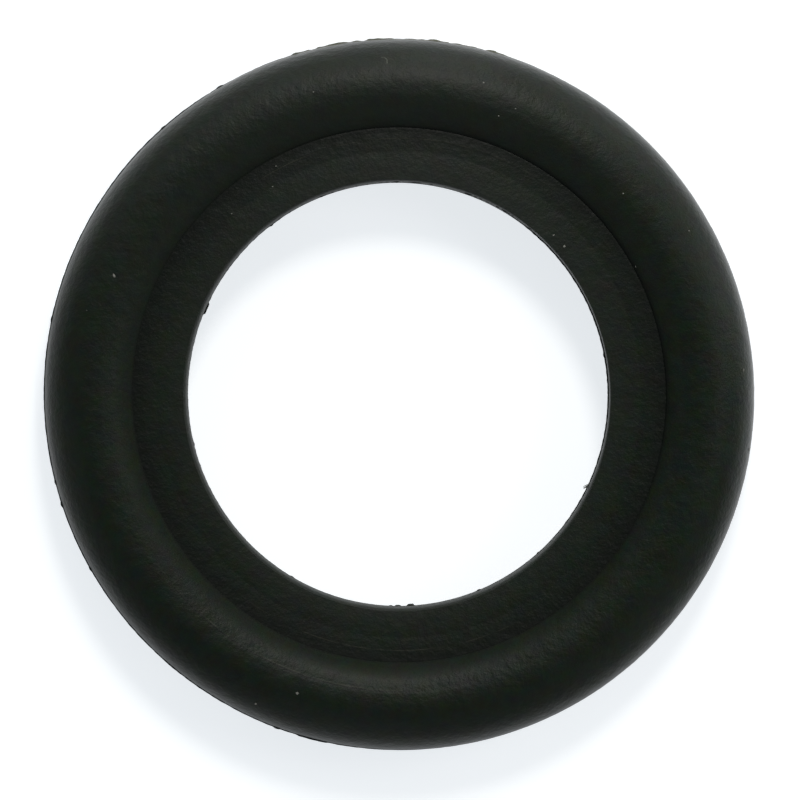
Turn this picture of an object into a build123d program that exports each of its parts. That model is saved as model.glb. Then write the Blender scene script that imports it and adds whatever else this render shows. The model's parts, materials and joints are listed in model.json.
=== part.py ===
from build123d import *
import os

# Moulded rubber washer for a drain plug. A round bead runs round the outside and does the
# sealing. A flat web, thinner than the bead, joins it to the bore and stops the squeeze.
# Millimetres. +Z is the bore's axis, and z = 0 is the plane that the bead rests on.

# Driving dimensions
outer_diameter = 22.2     # over the bead, without the seam
bore_diameter = 13.2      # clears the plug's shank
bead_diameter = 3.2       # the bead's round section, which is also the washer's thickness
web_recess = 0.5          # how far the bead stands proud of the web, on each side
crease_radius = 0.15      # mould radius in the corner between bead and web
bore_rim_bevel = 0.08     # small bevel on both rims of the bore
seam_height = 0.04        # how far the mould's seam stands out of the bead
seam_width = 0.08         # the seam's thickness along the axis

# Sizes and places that follow
bore_radius = bore_diameter / 2
bead_radius = bead_diameter / 2
bead_centre_radius = outer_diameter / 2 - bead_radius
mid_height = bead_radius
web_thickness = bead_diameter - 2 * web_recess
web_reach = bead_centre_radius - bore_radius

os.makedirs("parts", exist_ok=True)

with BuildPart() as washer:
    with BuildSketch(Plane.XZ) as section:
        # The web reaches to the middle of the bead, so that the two become one section.
        with Locations((bore_radius, mid_height)):
            Rectangle(web_reach, web_thickness, align=(Align.MIN, Align.CENTER))
        bore_rims = section.vertices().group_by(Axis.X)[0]
        chamfer(bore_rims, bore_rim_bevel)

        with Locations((bead_centre_radius, mid_height)):
            Circle(bead_radius)
        creases = section.vertices().group_by(Axis.X)[-1]
        fillet(creases, crease_radius)

        # The mould's two halves meet at mid-height and leave a seam round the outside.
        with Locations((bead_centre_radius, mid_height)):
            Rectangle(bead_radius + seam_height, seam_width, align=(Align.MIN, Align.CENTER))
    revolve(axis=Axis.Z)

washer.part.label = "drain_plug_washer"
export_step(washer.part, "parts/drain_plug_washer.step")
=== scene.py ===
import json
import math
import random

import bmesh
import bpy
import numpy as np
from mathutils import Matrix, Vector, noise


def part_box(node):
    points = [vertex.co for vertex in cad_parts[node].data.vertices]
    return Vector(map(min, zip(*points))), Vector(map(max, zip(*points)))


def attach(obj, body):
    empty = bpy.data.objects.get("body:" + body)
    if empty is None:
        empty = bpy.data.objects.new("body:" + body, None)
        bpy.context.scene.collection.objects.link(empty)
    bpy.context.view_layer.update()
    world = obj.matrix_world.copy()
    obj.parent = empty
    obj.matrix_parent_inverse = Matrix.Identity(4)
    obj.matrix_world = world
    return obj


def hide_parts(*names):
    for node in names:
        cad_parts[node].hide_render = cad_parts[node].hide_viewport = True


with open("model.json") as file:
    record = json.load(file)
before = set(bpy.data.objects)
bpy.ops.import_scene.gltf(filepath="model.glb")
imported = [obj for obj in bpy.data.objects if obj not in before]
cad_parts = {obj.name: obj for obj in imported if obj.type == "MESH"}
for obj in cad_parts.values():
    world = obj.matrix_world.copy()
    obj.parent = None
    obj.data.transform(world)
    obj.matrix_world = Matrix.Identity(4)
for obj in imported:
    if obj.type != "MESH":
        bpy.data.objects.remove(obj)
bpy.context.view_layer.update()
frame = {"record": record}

# The looks of a moulded rubber drain plug washer: one dense ring with its mould seams, trimmed
# flash and tool lines, a little dust and lint, a pale table and soft lamps.
# Lengths are in metres, as in the frame. Where a list or a name says mm, it is turned into
# metres with MM.

MM = 0.001
NODE = "drain_plug_washer"

mounts = {m["name"]: m for m in frame["record"]["mounts"]}
low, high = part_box(NODE)

# Sizes that the frame gives
BORE_RADIUS = mounts["bore"]["dims"]["r_mm"] * MM
WEB_TOP = mounts["web_top"]["pos_m"][2]
WEB_BOTTOM = mounts["web_bottom"]["pos_m"][2]
THICKNESS = high.z - low.z
MID_HEIGHT = (high.z + low.z) / 2
BEAD_RADIUS = THICKNESS / 2
CAD_SEAM_HEIGHT = 0.04 * MM
OUTER_RADIUS = high.x - CAD_SEAM_HEIGHT
BEAD_CENTRE = OUTER_RADIUS - BEAD_RADIUS
BEAD_MIDDLE = (BEAD_CENTRE, MID_HEIGHT)

# Sizes of the fine form
CREST_SHIFT = 0.08 * MM
WEB_DIP = 0.02 * MM
WEB_DIP_START = 6.7 * MM
FOOT_RADIUS = 8.345 * MM
FOOT_REACH = 0.012 * MM
FOOT_RISE = 0.027 * MM
BEAD_START = FOOT_RADIUS + 0.025 * MM
LOW_RIM_RADIUS = 0.09 * MM
SEAM_HALF_WIDTH = 0.035 * MM
SHARP_DEGREES = 35
SEGMENTS = 1360

# The worn upper rim of the bore: reach from the bore and drop under the web's top, in mm
WORN_RIM = (
    (0, 0.53),
    (0.042, 0.265),
    (0.064, 0.166),
    (0.086, 0.105),
    (0.115, 0.058),
    (0.147, 0.018),
    (0.163, 0.002),
    (0.185, 0),
)
# Rows of the bore's wall that carry the torn burr, by drop in mm, and which of them is its tip
BURR_DROPS = (0.68, 0.61, 0.56, 0.55)
BURR_TIP = 2

# Radii in mm of the fine lines that the turned mould left
WEB_GROOVE = 7.57
WEB_LINE = 7.99
CREASE_RISE = 8.325
SLOPE_LINE = 9.27
# The web's rows: its fine lines, and rows beside them that keep their shading narrow
WEB_RADII = (7.54, WEB_GROOVE, 7.60, 7.90, 7.972, WEB_LINE, 8.008, 8.24, CREASE_RISE)


# ---------------------------------------------------------------- the washer's section

def arc(centre, radius, start, end, count):
    """Points on an arc of the section, angles in degrees from +r towards +z."""
    angles = np.radians(np.linspace(start, end, count))
    return [(centre[0] + radius * math.cos(a), centre[1] + radius * math.sin(a)) for a in angles]


def foot(side):
    """The narrow steep foot of the bead, from the web outwards. side is 1 above, -1 below."""
    web = WEB_TOP - WEB_DIP if side > 0 else WEB_BOTTOM + WEB_DIP
    return [(FOOT_RADIUS, web), (FOOT_RADIUS + FOOT_REACH, web + side * FOOT_RISE)]


def web_height(radius):
    """Height of the upper web, which sinks a little towards the bead."""
    share = (radius - WEB_DIP_START) / (FOOT_RADIUS - WEB_DIP_START)
    return WEB_TOP - WEB_DIP * min(max(share, 0), 1)


def bead_arc(start, end, count):
    """Points round the bead, whose crest stands a little further out than its middle."""
    web_rise = (WEB_TOP - MID_HEIGHT) / BEAD_RADIUS
    rows = []
    for radius, height in arc(BEAD_MIDDLE, BEAD_RADIUS, start, end, count):
        rise = abs(height - MID_HEIGHT) / BEAD_RADIUS
        share = max(rise - web_rise, 0) / (1 - web_rise)
        rows.append((radius + CREST_SHIFT * share ** 2, height))
    return rows


def seam_points(radius, side):
    """Four points across a seam at mid-height. side is 1 going down, -1 going up."""
    steps = (1.0, 0.8, -0.8, -1.0)
    return [(radius, MID_HEIGHT + side * s * SEAM_HALF_WIDTH) for s in steps]


def upper_bead(lean):
    """The bead's upper side, with close rows beside the fine line on its inner slope."""
    return bead_arc(180 - lean, 101, 9) + bead_arc(99.5, 96, 3) + bead_arc(90, 5, 13)


def lower_bead(lean):
    """The bead's lower side, from just under the seam to the lower foot."""
    seam_half = math.degrees(SEAM_HALF_WIDTH / BEAD_RADIUS)
    return bead_arc(-3 - seam_half, lean - 180, 10)


def section():
    """The closed section as (r, z) rows, and where each fine feature starts in it."""
    low_rim = (BORE_RADIUS + LOW_RIM_RADIUS, WEB_BOTTOM + LOW_RIM_RADIUS)
    lean = math.degrees(math.acos((BEAD_CENTRE - BEAD_START) / BEAD_RADIUS))

    marks = {}
    rows = [(BORE_RADIUS, WEB_BOTTOM + 0.5 * MM)]
    marks["bore_seam"] = len(rows)
    rows += seam_points(BORE_RADIUS, -1)
    marks["burr"] = len(rows)
    rows += [(BORE_RADIUS, WEB_TOP - drop * MM) for drop in BURR_DROPS]
    rows += [(BORE_RADIUS + reach * MM, WEB_TOP - drop * MM) for reach, drop in WORN_RIM]
    marks["web"] = len(rows)
    rows += [(reach * MM, web_height(reach * MM)) for reach in WEB_RADII]
    rows += foot(1)
    rows += upper_bead(lean)
    marks["outer_seam"] = len(rows)
    rows += seam_points(OUTER_RADIUS, 1)
    rows += lower_bead(lean)
    rows += foot(-1)[::-1]
    rows += [(7.4 * MM, WEB_BOTTOM)]
    rows += arc(low_rim, LOW_RIM_RADIUS, 270, 180, 3)
    return np.array(rows), marks


def outward(rows):
    """Outward unit normals of the closed section."""
    along = np.roll(rows, -1, axis=0) - np.roll(rows, 1, axis=0)
    normals = np.stack([-along[:, 1], along[:, 0]], axis=1)
    return normals / np.linalg.norm(normals, axis=1, keepdims=True)


def surface_height(radius):
    """Height of the nominal upper surface at a radius."""
    reach = abs(radius - BEAD_CENTRE)
    on_bead = MID_HEIGHT + math.sqrt(max(BEAD_RADIUS ** 2 - reach ** 2, 0))
    return max(on_bead, WEB_TOP) if radius < BEAD_CENTRE else on_bead


# ---------------------------------------------------------------- what varies round the ring

# Flakes of flash, and nicks where they are negative: from, to in degrees, and height in mm
OUTER_FLAKES = (
    (24.0, 25.0, -0.022),
    (28.3, 30.4, -0.045),
    (74.3, 75.8, 0.028),
    (82.0, 85.2, 0.020),
    (91.0, 95.2, 0.022),
    (103.4, 104.6, -0.040),
    (106.8, 107.6, 0.034),
    (119.8, 120.8, 0.030),
    (131.2, 132.0, 0.020),
    (167.4, 168.1, 0.018),
    (194.0, 194.6, 0.020),
    (197.7, 198.4, 0.030),
    (209.1, 209.8, 0.022),
    (249.3, 250.2, 0.026),
    (253.4, 258.2, 0.020),
)
BURR_FLAKES = (
    (56.3, 57.6, -0.015),
    (58.6, 61.8, 0.020),
    (63.0, 64.0, -0.020),
    (68.2, 72.2, 0.016),
    (78.5, 79.5, -0.020),
    (88.8, 94.3, 0.016),
    (102.9, 104.1, -0.020),
    (117.1, 118.0, 0.020),
)
BORE_FLAKES = (
    (10.3, 11.3, 0.022),
    (126.6, 127.5, 0.022),
    (154.4, 157.6, 0.050),
    (189.5, 191.4, -0.030),
    (193.1, 194.0, 0.022),
    (239.0, 239.9, 0.022),
    (267.3, 268.2, 0.022),
    (268.8, 270.4, 0.034),
    (272.1, 273.9, 0.060),
    (291.6, 292.6, 0.024),
    (310.8, 311.6, 0.022),
)
FLAKE_RAMP = 0.4


def away(degrees, centre):
    """Signed angle from a centre, in degrees, within half a turn."""
    return (degrees - centre + 180) % 360 - 180


def hump(degrees, centre, width):
    """A smooth hump that is 1 at its centre and under a tenth one width away."""
    return np.exp(-2.5 * (away(degrees, centre) / width) ** 2)


def flake(degrees, start, end, ramp):
    """1 between two angles, with short straight ends."""
    middle = (start + end) / 2
    half = (end - start) / 2
    return np.clip((half - np.abs(away(degrees, middle))) / ramp + 0.5, 0, 1)


def with_flakes(degrees, height, flakes):
    """Adds a list of flakes and nicks to a height, and keeps it from going under the surface."""
    for start, end, more in flakes:
        height += more * flake(degrees, start, end, FLAKE_RAMP)
    return np.maximum(height, 0)


def rough(degrees, cell, seed):
    """Noise from about -1 to 1 along the ring, one cell of it being so many degrees."""
    turns = np.radians(degrees)
    reach = 180 / math.pi / cell
    spots = [(reach * math.cos(t), reach * math.sin(t), seed) for t in turns]
    return np.array([noise.noise(Vector(s)) for s in spots]) * 1.6


def outer_flash(degrees):
    """How far the trimmed seam stands out of the bead, in mm."""
    angles = (0, 66, 72, 108, 118, 125, 240, 262, 275, 300, 360)
    heights = (0.004, 0.004, 0.03, 0.03, 0.012, 0.03, 0.03, 0.022, 0.01, 0.004, 0.004)
    height = np.interp(degrees, angles, heights)
    ragged = flake(degrees, 71, 110, 3)
    height += ragged * (0.022 * rough(degrees, 1.3, 3.1) + 0.016 * rough(degrees, 4.0, 7.7))
    height += 0.006 * rough(degrees, 0.9, 12.4) * (0.4 + 0.6 * flake(degrees, 60, 262, 8))
    return with_flakes(degrees, height, OUTER_FLAKES)


def flash_top(degrees):
    """The height of the flash's upper edge, as a share of its lower edge's. Torn flash slopes."""
    torn = flake(degrees, 64, 122, 6)
    return 1 - torn * np.clip(0.85 - 0.5 * rough(degrees, 0.8, 51.6), 0, 1)


def bore_flash(degrees):
    """How far the trimmed seam stands into the bore, in mm."""
    angles = (0, 50, 60, 118, 125, 150, 165, 250, 300, 325, 360)
    heights = (0.042, 0.04, 0.006, 0.006, 0.015, 0.015, 0.004, 0.004, 0.01, 0.03, 0.042)
    height = np.interp(degrees, angles, heights)
    height += 0.007 * rough(degrees, 1.1, 31.9)
    return with_flakes(degrees, height, BORE_FLAKES)


def bore_burr(degrees):
    """How far the torn flash just under the bore's upper rim stands into the bore, in mm."""
    torn = flake(degrees, 52, 124, 6)
    height = 0.030 * rough(degrees, 0.9, 23.3) + 0.012 * rough(degrees, 3.5, 27.1) - 0.002
    return torn * with_flakes(degrees, height, BURR_FLAKES)


def rim_share(degrees):
    """How much of its full width the worn upper rim of the bore has."""
    angles = (0, 15, 45, 60, 100, 135, 165, 300, 330, 345, 360)
    shares = (0.25, 0.15, 0.18, 0.40, 0.60, 0.74, 0.95, 0.90, 0.66, 0.40, 0.25)
    return np.interp(degrees, angles, shares)


def out_of_round(degrees, radii):
    """How far each point leaves the true circle: the moulding is a little oval, and its bore
    is a little off centre."""
    share = np.clip((radii - BORE_RADIUS) / (OUTER_RADIUS - BORE_RADIUS), 0, 1)
    outer = 0.028 * np.cos(2 * np.radians(degrees - 129.3))
    bore = 0.027 * np.cos(2 * np.radians(degrees - 104.3))
    bore += 0.004 - 0.033 * np.cos(np.radians(degrees)) + 0.008 * np.sin(np.radians(degrees))
    return MM * (bore[:, None] * (1 - share) + outer[:, None] * share)


def crease_shift(degrees, radii):
    """How far the crease runs inside its true circle on one side."""
    share = np.clip(1 - np.abs(radii - 8.35 * MM) / (0.3 * MM), 0, 1)
    return -0.045 * MM * hump(degrees, 70, 75)[:, None] * share


def fine_line(radii, centre, reach, height):
    """A line of this height on the rows within reach of its radius, in mm."""
    return np.where(np.abs(radii - centre * MM) < reach * MM, height, 0)


def tool_lines(degrees, radii):
    """Relief that the turned mould left on the web and on the bead's inner slope."""
    broken = np.clip(0.55 + 0.9 * rough(degrees, 3.2, 41.0), 0, 1)
    on_web = broken * (0.35 + 0.65 * flake(degrees, 58, 122, 20))
    on_slope = 0.3 + 0.7 * hump(degrees, 255, 60)
    soft_side = flake(degrees, 15, 165, 50)
    height = on_web[:, None] * fine_line(radii, WEB_LINE, 0.005, 0.003)
    height += fine_line(radii, WEB_GROOVE, 0.01, -0.003)
    height += soft_side[:, None] * fine_line(radii, CREASE_RISE, 0.01, 0.004)
    height += on_slope[:, None] * fine_line(radii, SLOPE_LINE, 0.03, -0.005)
    return MM * height


# ---------------------------------------------------------------- the washer's mesh

def push_out(reach, row, amounts):
    """Moves one row of the section outwards, by so many mm at each step round the ring."""
    reach[:, row] += MM * amounts


def trim_rim(radii, height, rows, degrees):
    """Narrows the worn rim and the burr under it to their share at each step round the ring."""
    keep = rim_share(degrees)[:, None]
    radii[:, rows] = BORE_RADIUS + (radii[:, rows] - BORE_RADIUS) * keep
    height[:, rows] = WEB_TOP + (height[:, rows] - WEB_TOP) * keep


def in_space(reach, height, degrees):
    """Points in space from distances to the axis and heights, section by section."""
    turns = np.radians(degrees)
    x = reach * np.cos(turns)[:, None]
    y = reach * np.sin(turns)[:, None]
    return np.stack([x, y, height], axis=2).reshape(-1, 3)


def waviness(points):
    """A faint unevenness of the moulded skin, along its normal."""
    spots = points / MM
    long_waves = [noise.noise(Vector(s * 0.45)) for s in spots]
    short_waves = [noise.noise(Vector(s * 1.3) + Vector((40, 0, 0))) for s in spots]
    return MM * (0.004 * np.array(long_waves) + 0.0012 * np.array(short_waves))


def washer_mesh():
    """The section turned round the axis, with all that varies round the ring."""
    rows, marks = section()
    normals = outward(rows)
    degrees = np.arange(SEGMENTS) * 360 / SEGMENTS
    radii = np.repeat(rows[None, :, 0], SEGMENTS, axis=0)
    height = np.repeat(rows[None, :, 1], SEGMENTS, axis=0)
    trim_rim(radii, height, slice(marks["burr"], marks["web"]), degrees)

    reach = radii + out_of_round(degrees, radii) + crease_shift(degrees, radii)
    upper = rows[:, 1] > MID_HEIGHT + 0.9 * MM
    height += tool_lines(degrees, radii) * upper
    push_out(reach, marks["bore_seam"] + 1, -bore_flash(degrees))
    push_out(reach, marks["bore_seam"] + 2, -bore_flash(degrees))
    push_out(reach, marks["burr"] + BURR_TIP, -bore_burr(degrees))
    push_out(reach, marks["outer_seam"] + 1, outer_flash(degrees) * flash_top(degrees))
    push_out(reach, marks["outer_seam"] + 2, outer_flash(degrees))

    push = waviness(in_space(reach, height, degrees)).reshape(radii.shape)
    reach = reach + push * normals[:, 0]
    height = height + push * normals[:, 1]
    return ring_mesh("washer", in_space(reach, height, degrees), len(rows))


def ring_mesh(name, points, count):
    """A closed ring of quads from points that run section by section round the axis."""
    segments = len(points) // count
    turn, step = np.meshgrid(np.arange(segments), np.arange(count), indexing="ij")
    next_turn = (turn + 1) % segments
    next_step = (step + 1) % count
    corners = (
        turn * count + step,
        turn * count + next_step,
        next_turn * count + next_step,
        next_turn * count + step,
    )
    faces = np.stack(corners, axis=2).reshape(-1, 4)
    mesh = bpy.data.meshes.new(name)
    mesh.vertices.add(len(points))
    mesh.vertices.foreach_set("co", points.ravel())
    mesh.loops.add(faces.size)
    mesh.loops.foreach_set("vertex_index", faces.ravel().astype(np.int32))
    mesh.polygons.add(len(faces))
    mesh.polygons.foreach_set("loop_start", np.arange(0, faces.size, 4, dtype=np.int32))
    mesh.update(calc_edges=True)
    mesh.polygons.foreach_set("use_smooth", np.ones(len(faces), dtype=bool))
    mesh.set_sharp_from_angle(angle=math.radians(SHARP_DEGREES))
    return mesh


def mesh_from(name, build):
    """Ends a bmesh and gives its mesh."""
    mesh = bpy.data.meshes.new(name)
    build.to_mesh(mesh)
    build.free()
    return mesh


def add_object(name, mesh, material):
    """An object of one material, in the scene."""
    piece = bpy.data.objects.new(name, mesh)
    mesh.materials.append(material)
    bpy.context.scene.collection.objects.link(piece)
    return piece


# ---------------------------------------------------------------- materials

class Nodes:
    """Adds nodes to a new material's tree. A value that is a socket is linked, any other is set."""

    def __init__(self, name):
        self.material = bpy.data.materials.new(name)
        self.material.use_nodes = True
        self.tree = self.material.node_tree
        self.shader = self.tree.nodes["Principled BSDF"]
        self.place = self.add("TexCoord").outputs["Object"]

    def add(self, kind, values=None, **settings):
        made = self.tree.nodes.new("ShaderNode" + kind)
        for key, value in settings.items():
            setattr(made, key, value)
        for key, value in (values or {}).items():
            self.put(made.inputs[key], value)
        return made

    def put(self, socket, value):
        if isinstance(value, bpy.types.NodeSocket):
            self.tree.links.new(value, socket)
        else:
            socket.default_value = value

    def noise(self, size_mm, detail, roughness, offset=0.0):
        """Noise with features of about this size."""
        place = self.vector("ADD", self.place, (offset, 0, 0)) if offset else self.place
        values = {"Vector": place, "Scale": 1 / (size_mm * MM), "Detail": detail}
        values["Roughness"] = roughness
        return self.add("TexNoise", values).outputs["Fac"]

    def span(self, value, low_in, high_in, low_out, high_out):
        """Maps a value from one range to another, and keeps it inside."""
        values = {0: value, 1: low_in, 2: high_in, 3: low_out, 4: high_out}
        return self.add("MapRange", values).outputs[0]

    def vector(self, operation, a, b):
        return self.add("VectorMath", {0: a, 1: b}, operation=operation).outputs["Vector"]

    def dot(self, a, b):
        return self.add("VectorMath", {0: a, 1: b}, operation="DOT_PRODUCT").outputs["Value"]

    def length(self, a):
        return self.add("VectorMath", {0: a}, operation="LENGTH").outputs["Value"]

    def math(self, operation, a, b, c=0.0):
        return self.add("Math", {0: a, 1: b, 2: c}, operation=operation).outputs[0]

    def product(self, *values):
        result = values[0]
        for value in values[1:]:
            result = self.math("MULTIPLY", result, value)
        return result

    def distance(self, value, centre):
        """How far a value lies from a centre, on either side."""
        return self.math("ABSOLUTE", self.math("SUBTRACT", value, centre), 0)


class RingNodes(Nodes):
    """Nodes for a material that varies with the distance from the ring's axis and with the way
    that a spot lies from it."""

    def __init__(self, name):
        super().__init__(name)
        flat = self.vector("MULTIPLY", self.place, (1, 1, 0))
        self.radius = self.length(flat)
        self.around = self.vector("NORMALIZE", flat, (0, 0, 0))

    def across(self, start, end, low_out, high_out):
        """Runs from one value to another between two radii in mm."""
        return self.span(self.radius, start * MM, end * MM, low_out, high_out)

    def towards(self, direction):
        """1 where the ring lies this way from its axis, and -1 on the opposite side."""
        return self.dot(self.around, direction)

    def line(self, centre, reach):
        """1 within reach of a radius, in mm, and 0 a little further off."""
        off = self.distance(self.radius, centre * MM)
        return self.span(off, reach * MM, 1.8 * (reach * MM), 1, 0)


def put_colour(nodes, made, key, colour):
    """Sets or links the colour socket of this name: a Mix node has others of the same name."""
    sockets = [s for s in made.inputs if s.name == key and s.type == "RGBA"]
    nodes.put(sockets[0], colour)


def mix_colours(nodes, share, a, b):
    """A mix of two colours, each one a colour or a socket."""
    made = nodes.add("Mix", data_type="RGBA")
    nodes.put(made.inputs["Factor"], share)
    put_colour(nodes, made, "A", a)
    put_colour(nodes, made, "B", b)
    return [s for s in made.outputs if s.type == "RGBA"][0]


# Painted light: a paler rubber that stands in for light on the lamps' side and glare along both rims
PAINTED_LIGHT_RUBBER = (0.0130, 0.0150, 0.0125, 1)
# Painted shade: a darker rubber for shade towards the crease and in the inner slope's groove
PAINTED_SHADE_RUBBER = (0.0003, 0.0012, 0.0003, 1)
# Painted highlights of the tool lines, on the web and on the bead's inner slope
WEB_LINE_HIGHLIGHT = (0.0170, 0.0180, 0.0120, 1)
SLOPE_LINE_HIGHLIGHT = (0.020, 0.022, 0.015, 1)
TORN_COLOUR = (0.080, 0.082, 0.060, 1)
BACK = (0, 1, 0)
# The side towards the lamps, where light is painted into the rubber's colour
PAINTED_LIGHT_SIDE = (-0.26, 0.97, 0)
# The side where the bead's inner slope faces the key lamp, where its line's light and shade are
# painted
SLOPE_LINE_LIT_SIDE = (-0.42, -0.91, 0)


def body_colour(nodes):
    """Greenish black, its red, green and blue each with patches of their own."""
    red = nodes.noise(0.50, 3.0, 0.75, 0.9)
    green = nodes.noise(0.60, 4.0, 0.85, 1.7)
    blue = nodes.noise(0.55, 3.0, 0.75, 0.3)
    return nodes.add("CombineColor", {
        "Red": nodes.span(red, 0.36, 0.64, 0.0012, 0.0046),
        "Green": nodes.span(green, 0.34, 0.66, 0.0037, 0.0099),
        "Blue": nodes.span(blue, 0.36, 0.64, 0.0002, 0.0047),
    }).outputs[0]


def with_painted_light_and_shade(nodes, colour):
    """Painted light towards the lamps and along both rims, painted shade from the web to the crease.
    """
    # Painted light: paler on the side towards the lamps
    painted_lit_side = nodes.span(nodes.towards(PAINTED_LIGHT_SIDE), -0.1, 1.0, 0, 0.30)
    # Painted light: paler towards the bore's rim, for glare from the white table in the hole
    painted_bore_glare = nodes.across(6.60, 7.60, 0.45, 0)
    # Painted light: paler at the outer edge, for the table's glare and sheen at the rim
    painted_edge_sheen = nodes.across(10.85, 11.08, 0, 0.6)
    # Painted shade: darker from the web out to the crease
    painted_crease_shade = nodes.product(nodes.across(7.50, 8.30, 0, 0.78), nodes.across(8.33, 8.43, 1, 0))
    colour = mix_colours(nodes, painted_lit_side, colour, PAINTED_LIGHT_RUBBER)
    colour = mix_colours(nodes, nodes.math("ADD", painted_bore_glare, painted_edge_sheen), colour, PAINTED_LIGHT_RUBBER)
    return mix_colours(nodes, painted_crease_shade, colour, PAINTED_SHADE_RUBBER)


def with_painted_tool_line_light(nodes, colour):
    """Painted highlights and shade on the tool lines, on the web and on the bead's inner slope."""
    broken = nodes.span(nodes.noise(0.8, 1.0, 0.5, 2.6), 0.42, 0.58, 0, 1)
    ends = nodes.math("ABSOLUTE", nodes.towards(BACK), 0)
    # The web line's painted highlight, strongest towards the back and the front, in line with the key
    # lamp
    on_web = nodes.product(nodes.line(WEB_LINE, 0.010), nodes.span(ends, 0.80, 0.90, 0.1, 0.9))
    # Painted highlight and painted shade of the slope's line, only where the slope faces the key lamp
    on_slope = nodes.span(nodes.towards(SLOPE_LINE_LIT_SIDE), 0.86, 0.94, 0, 0.9)
    slope_highlight_line = nodes.product(nodes.line(9.225, 0.012), on_slope, broken)
    slope_shade_line = nodes.product(nodes.line(9.275, 0.012), on_slope)
    colour = mix_colours(nodes, nodes.product(on_web, broken), colour, WEB_LINE_HIGHLIGHT)
    colour = mix_colours(nodes, slope_highlight_line, colour, SLOPE_LINE_HIGHLIGHT)
    return mix_colours(nodes, slope_shade_line, colour, PAINTED_SHADE_RUBBER)


def with_torn_flash(nodes, colour):
    """The pale rubber of the flash that was torn off at the back, at the seam's height."""
    height = nodes.add("SeparateXYZ", {0: nodes.place}).outputs["Z"]
    at_edge = nodes.across(11.075, 11.10, 0, 1)
    at_back = nodes.span(nodes.towards(BACK), 0.93, 0.96, 0, 1)
    at_seam = nodes.span(nodes.distance(height, MID_HEIGHT), 0.045 * MM, 0.06 * MM, 1, 0)
    return mix_colours(nodes, nodes.product(at_edge, at_back, at_seam), colour, TORN_COLOUR)


def put_gloss(nodes):
    """Dull in the crease and glossier towards the outer edge, with a gloss that the turned
    mould's fine grooves spread, and a fine grain."""
    crease = nodes.product(nodes.across(8.32, 8.345, 0, 1), nodes.across(8.50, 8.92, 1, 0))
    roughness = nodes.math("MULTIPLY_ADD", crease, 0.28, 0.495)
    roughness = nodes.math("MULTIPLY_ADD", nodes.across(10.1, 10.7, 0, 1), -0.09, roughness)
    roughness = nodes.math("MULTIPLY_ADD", nodes.across(10.62, 10.92, 0, 1), -0.12, roughness)
    nodes.put(nodes.shader.inputs["Roughness"], roughness)
    nodes.shader.inputs["IOR"].default_value = 1.5
    nodes.shader.inputs["Specular IOR Level"].default_value = 0.2
    nodes.shader.inputs["Anisotropic"].default_value = 0.37
    nodes.shader.inputs["Anisotropic Rotation"].default_value = 0.25
    grooves = nodes.add("Tangent", direction_type="RADIAL", axis="Z")
    nodes.put(nodes.shader.inputs["Tangent"], grooves.outputs[0])
    grain = nodes.noise(0.36, 3.0, 0.70, 1.7)
    bump = nodes.add("Bump", {"Height": grain, "Strength": 1.0, "Distance": 0.031 * MM})
    nodes.put(nodes.shader.inputs["Normal"], bump.outputs[0])


def rubber_material():
    """Matt black moulded rubber."""
    nodes = RingNodes("black_rubber")
    colour = with_painted_light_and_shade(nodes, body_colour(nodes))
    colour = with_painted_tool_line_light(nodes, colour)
    colour = with_torn_flash(nodes, colour)
    nodes.put(nodes.shader.inputs["Base Color"], colour)
    put_gloss(nodes)
    return nodes.material


def dull_material(name, dark, pale):
    """A dull mottled grey, for dust and lint."""
    nodes = Nodes(name)
    spots = nodes.span(nodes.noise(0.03, 1.0, 0.5), 0.35, 0.65, 0, 1)
    nodes.put(nodes.shader.inputs["Base Color"], mix_colours(nodes, spots, dark, pale))
    nodes.shader.inputs["Roughness"].default_value = 0.9
    nodes.shader.inputs["Specular IOR Level"].default_value = 0.2
    return nodes.material


# ---------------------------------------------------------------- dust and lint

# Specks of dust: degrees, radius in mm, length and width in mm, and the way that they point
SPECKS = (
    (42, 6.9, 0.09, 0.08, 0),
    (46, 6.9, 0.07, 0.05, 30),
    (251, 9.85, 0.10, 0.09, 40),
    (245, 10.65, 0.07, 0.06, 0),
    (157.5, 9.65, 0.14, 0.07, 120),
    (165, 10.1, 0.05, 0.05, 0),
    (28.5, 8.4, 0.11, 0.08, 45),
    (42, 9.35, 0.06, 0.05, 0),
    (75, 10.05, 0.07, 0.06, 0),
    (70.5, 9.2, 0.05, 0.05, 0),
    (68, 9.6, 0.05, 0.04, 0),
    (121.5, 7.6, 0.05, 0.04, 0),
    (133, 7.7, 0.05, 0.04, 0),
    (118.5, 8.1, 0.05, 0.04, 0),
    (106, 9.8, 0.05, 0.04, 0),
    (29.5, 10.35, 0.05, 0.05, 0),
    (4, 10.75, 0.11, 0.05, 80),
    (351, 11.05, 0.09, 0.05, 70),
)
SPECK_THICKNESS = 0.035
SPECK_LIFT = 0.008 * MM

# Fibres of lint: thickness in mm, whether they lie on the bead, and points (x, y) in mm
FIBRES = (
    (0.050, True, ((-0.58, 10.50), (-0.49, 10.50), (-0.41, 10.42), (-0.41, 10.32), (-0.48, 10.24))),
    (0.027, False, ((6.020, -2.780), (5.930, -2.800), (5.840, -2.830), (5.735, -2.875))),
    (0.026, False, ((6.020, -2.830), (5.920, -2.846), (5.830, -2.872), (5.730, -2.915))),
    (0.025, False, ((5.990, -2.880), (5.900, -2.885), (5.800, -2.905), (5.740, -2.950))),
)
LINT_HEIGHT = 2.2 * MM
FIBRE_TIP = 0.55
FIBRE_SIDES = 6


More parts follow.
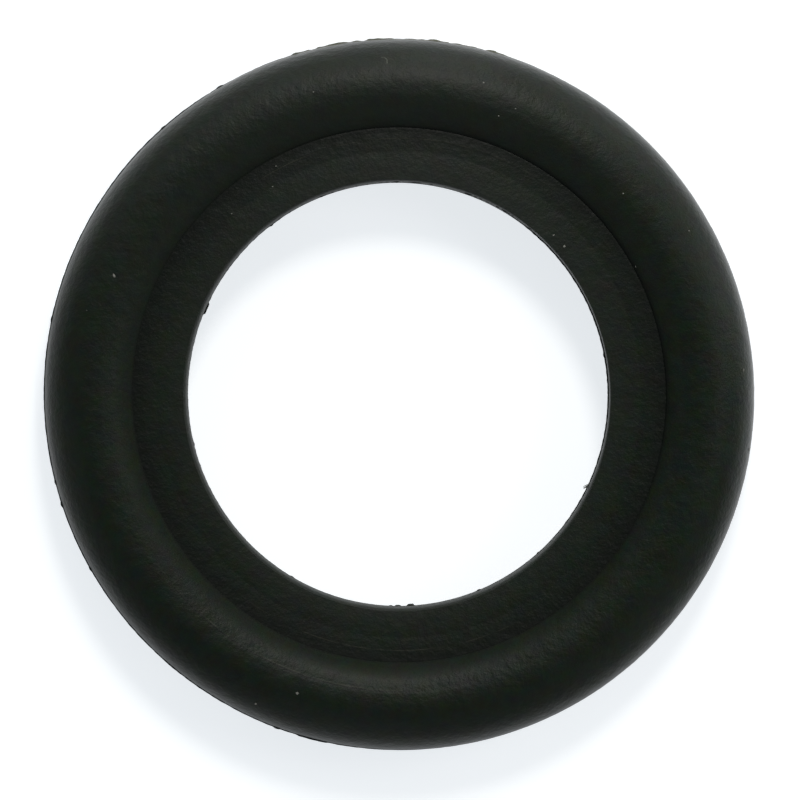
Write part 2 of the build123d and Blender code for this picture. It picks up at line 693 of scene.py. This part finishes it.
def dust_mesh():
    """Small flattened crumbs that lie on the washer, in one mesh."""
    draw = random.Random(5)
    build = bmesh.new()
    for degrees, radius, length, width, heading in SPECKS:
        turn = math.radians(degrees)
        spot = Vector((radius * MM * math.cos(turn), radius * MM * math.sin(turn), 0))
        spot.z = surface_height(radius * MM) + SPECK_LIFT
        made = bmesh.ops.create_icosphere(build, subdivisions=2, radius=0.5 * MM)
        scale = Matrix.Diagonal((length, width, SPECK_THICKNESS, 1))
        move = Matrix.Translation(spot) @ Matrix.Rotation(math.radians(heading), 4, "Z") @ scale
        for vertex in made["verts"]:
            vertex.co *= 1 + draw.uniform(-0.12, 0.12)
            vertex.co = move @ vertex.co
    return mesh_from("dust_specks", build)


def fibre_points(on_bead, spots):
    """A fibre's points, on the bead or at the height where lint clings to the bore's wall."""
    points = []
    for x, y in spots:
        height = LINT_HEIGHT
        if on_bead:
            height = surface_height(math.hypot(x, y) * MM)
        points.append(Vector((x * MM, y * MM, height)))
    return points


def add_tube(build, points, thickness):
    """A tube with flat sides that is thinner at both ends."""
    turns = [math.radians(360 / FIBRE_SIDES * k) for k in range(FIBRE_SIDES)]
    rings = []
    for i, point in enumerate(points):
        along = points[min(i + 1, len(points) - 1)] - points[max(i - 1, 0)]
        side = along.cross(Vector((0, 0, 1))).normalized()
        up = side.cross(along).normalized()
        reach = thickness / 2 * (FIBRE_TIP if i in (0, len(points) - 1) else 1)
        around = [side * math.cos(t) + up * math.sin(t) for t in turns]
        rings.append([build.verts.new(point + a * reach) for a in around])
    for near, far in zip(rings, rings[1:]):
        for k in range(FIBRE_SIDES):
            build.faces.new((near[k], near[k - 1], far[k - 1], far[k]))
    build.faces.new(rings[0])
    build.faces.new(rings[-1][::-1])


def lint_mesh():
    """All the fibres of lint, in one mesh."""
    build = bmesh.new()
    for thickness, on_bead, spots in FIBRES:
        add_tube(build, fibre_points(on_bead, spots), thickness * MM)
    bmesh.ops.recalc_face_normals(build, faces=build.faces)
    return mesh_from("lint", build)


# ---------------------------------------------------------------- the washer and what lies on it

washer = add_object("washer", washer_mesh(), rubber_material())
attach(washer, "root")
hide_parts(NODE)

dust_grey = dull_material("dust", (0.10, 0.10, 0.09, 1), (0.20, 0.20, 0.18, 1))
dust = add_object("dust_specks", dust_mesh(), dust_grey)
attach(dust, "root")

lint_grey = dull_material("lint", (0.05, 0.055, 0.045, 1), (0.09, 0.10, 0.085, 1))
lint = add_object("lint", lint_mesh(), lint_grey)
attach(lint, "root")


# ---------------------------------------------------------------- floor

WHITE = (1, 1, 1, 1)
TABLE_RADIUS = 1.5
TABLE_COLOUR = (0.9, 0.9, 0.9, 1)
TABLE_SHADE = 0.50
TABLE_GLOW = 0.75
TABLE_DIMMING = 0.36
LAMP_SIDE = (0.34, 0.94, 0)
SHADOW_COLOUR = (0.925, 0.965, 1.0, 1)


def near_table(nodes, reach):
    """What the camera and reflections see: shadowed near the washer, plain white further off."""
    shade = nodes.add("BsdfDiffuse", {"Color": (TABLE_SHADE, TABLE_SHADE, TABLE_SHADE, 1)})
    glow = nodes.add("Emission", {"Color": SHADOW_COLOUR, "Strength": TABLE_GLOW})
    near = nodes.add("AddShader", {0: shade.outputs[0], 1: glow.outputs[0]})
    far = nodes.add("Emission", {"Color": WHITE, "Strength": 1.0})
    share = nodes.span(reach, 18 * MM, 60 * MM, 0, 1)
    return nodes.add("MixShader", {0: share, 1: near.outputs[0], 2: far.outputs[0]})


def gloss_dimming(nodes, reach, is_glossy):
    """How much dimmer the rubber's gloss sees the table, outside the ring and away from the lamps."""
    ahead = nodes.dot(nodes.place, LAMP_SIDE)
    behind = nodes.span(ahead, 4 * MM, -2.5 * MM, 0, TABLE_DIMMING)
    outside = nodes.span(reach, 8.5 * MM, 10.5 * MM, 0, 1)
    return nodes.product(behind, outside, is_glossy)


def floor_material():
    """A pale table. The camera and reflections see most of it as plain white, so that only the
    washer's soft shadow darkens it. It lights the washer as the pale diffuse surface that it is,
    and in the rubber's gloss it is dimmer on the side away from the lamps."""
    nodes = Nodes("pale_table")
    paths = nodes.add("LightPath").outputs
    reach = nodes.length(nodes.place)
    seen = nodes.math("MAXIMUM", paths["Is Camera Ray"], paths["Is Glossy Ray"])
    seen = nodes.math("MAXIMUM", seen, paths["Is Transmission Ray"])
    table = near_table(nodes, reach)
    dimming = gloss_dimming(nodes, reach, paths["Is Glossy Ray"])
    dark = nodes.add("Emission", {"Color": (0, 0, 0, 1), "Strength": 0.0})
    table = nodes.add("MixShader", {0: dimming, 1: table.outputs[0], 2: dark.outputs[0]})
    lit = nodes.add("BsdfDiffuse", {"Color": TABLE_COLOUR})
    mix = nodes.add("MixShader", {0: seen, 1: lit.outputs[0], 2: table.outputs[0]})
    nodes.put(nodes.tree.nodes["Material Output"].inputs["Surface"], mix.outputs[0])
    nodes.tree.nodes.remove(nodes.shader)
    return nodes.material


def floor_mesh():
    """A flat disc under the washer."""
    build = bmesh.new()
    bmesh.ops.create_circle(build, cap_ends=True, segments=96, radius=TABLE_RADIUS)
    return mesh_from("floor", build)


floor = add_object("floor", floor_mesh(), floor_material())


# ---------------------------------------------------------------- world, lamps, camera

ROOM_COLOUR = (0.85, 0.93, 1.0, 1)
ROOM_LEVEL = 0.16
WARM = (1.0, 0.98, 0.93)
PLAIN = (1.0, 0.99, 0.97)
COOL = (0.92, 0.96, 1.0)
# Lamps: name, azimuth and elevation, the angle that they fill, distance, level, colour
LAMPS = (
    ("key", 80, 52.5, 13, 0.25, 0.46, WARM),
    ("low_right", 20, 14, 20, 0.10, 0.11, PLAIN),
    ("low_front", 50, 14, 20, 0.10, 0.11, PLAIN),
    ("low_key", 80, 14, 20, 0.08, 0.14, WARM),
    ("low_left", 106, 18, 24, 0.08, 0.05, PLAIN),
    ("high_left", 110, 36, 24, 0.12, 0.08, PLAIN),
    ("right", 10, 45, 24, 0.15, 0.125, PLAIN),
    ("left", 140, 35, 30, 0.15, 0.06, COOL),
    ("back", 262, 28, 45, 0.15, 0.08, COOL),
    ("back_right", 315, 28, 40, 0.15, 0.075, PLAIN),
    ("back_left", 200, 28, 40, 0.15, 0.055, COOL),
)
# The camera: how far off, the width that it sees there, the way and the angle in degrees that
# it leans, and the point that it looks at
CAMERA_DISTANCE = 0.45
FRAME_WIDTH = 25.016 * MM
CAMERA_SIDE = 195
CAMERA_LEAN = 0.8
AIM = Vector((0.016 * MM, -0.172 * MM, MID_HEIGHT))
SENSOR_WIDTH = 36


def make_world():
    """White where the camera looks past the table, and a dim, slightly blue room for all else."""
    world = bpy.data.worlds.new("world")
    bpy.context.scene.world = world
    world.use_nodes = True
    tree = world.node_tree
    room = tree.nodes["Background"]
    room.inputs["Color"].default_value = ROOM_COLOUR
    room.inputs["Strength"].default_value = ROOM_LEVEL
    white = tree.nodes.new("ShaderNodeBackground")
    white.inputs["Color"].default_value = WHITE
    white.inputs["Strength"].default_value = 1.0
    paths = tree.nodes.new("ShaderNodeLightPath")
    mix = tree.nodes.new("ShaderNodeMixShader")
    tree.links.new(paths.outputs["Is Camera Ray"], mix.inputs[0])
    tree.links.new(room.outputs[0], mix.inputs[1])
    tree.links.new(white.outputs[0], mix.inputs[2])
    tree.links.new(mix.outputs[0], tree.nodes["World Output"].inputs["Surface"])


def soft_lamp(name, azimuth, elevation, spread, distance, level, colour):
    """A round lamp that lights a white surface facing it to this level. spread is the angle in
    degrees that it fills, seen from the washer."""
    a = math.radians(azimuth)
    e = math.radians(elevation)
    back = Vector((math.cos(a) * math.cos(e), math.sin(a) * math.cos(e), math.sin(e)))
    data = bpy.data.lights.new(name, "AREA")
    data.shape = "DISK"
    data.size = 2 * distance * math.tan(math.radians(spread / 2))
    data.energy = level * math.pi ** 2 * distance ** 2
    data.color = colour
    lamp = bpy.data.objects.new(name, data)
    lamp.location = back * distance
    lamp.rotation_mode = "QUATERNION"
    lamp.rotation_quaternion = back.to_track_quat("Z", "Y")
    lamp.visible_camera = False
    bpy.context.scene.collection.objects.link(lamp)


def make_camera():
    """Nearly straight above the washer, with +Y up in the picture."""
    turn = math.radians(CAMERA_SIDE)
    lean = math.tan(math.radians(CAMERA_LEAN))
    back = Vector((math.cos(turn) * lean, math.sin(turn) * lean, 1))
    back.normalize()
    right = Vector((0, 1, 0)).cross(back).normalized()
    data = bpy.data.cameras.new("camera")
    data.sensor_width = SENSOR_WIDTH
    data.lens = SENSOR_WIDTH * CAMERA_DISTANCE / FRAME_WIDTH
    data.clip_start = 0.01
    data.clip_end = 10
    camera = bpy.data.objects.new("camera", data)
    camera.location = AIM + back * CAMERA_DISTANCE
    camera.rotation_mode = "QUATERNION"
    camera.rotation_quaternion = Matrix((right, back.cross(right), back)).transposed().to_quaternion()
    bpy.context.scene.collection.objects.link(camera)
    bpy.context.scene.camera = camera


make_world()
for lamp in LAMPS:
    soft_lamp(*lamp)
make_camera()

bpy.context.scene.view_settings.view_transform = "Standard"
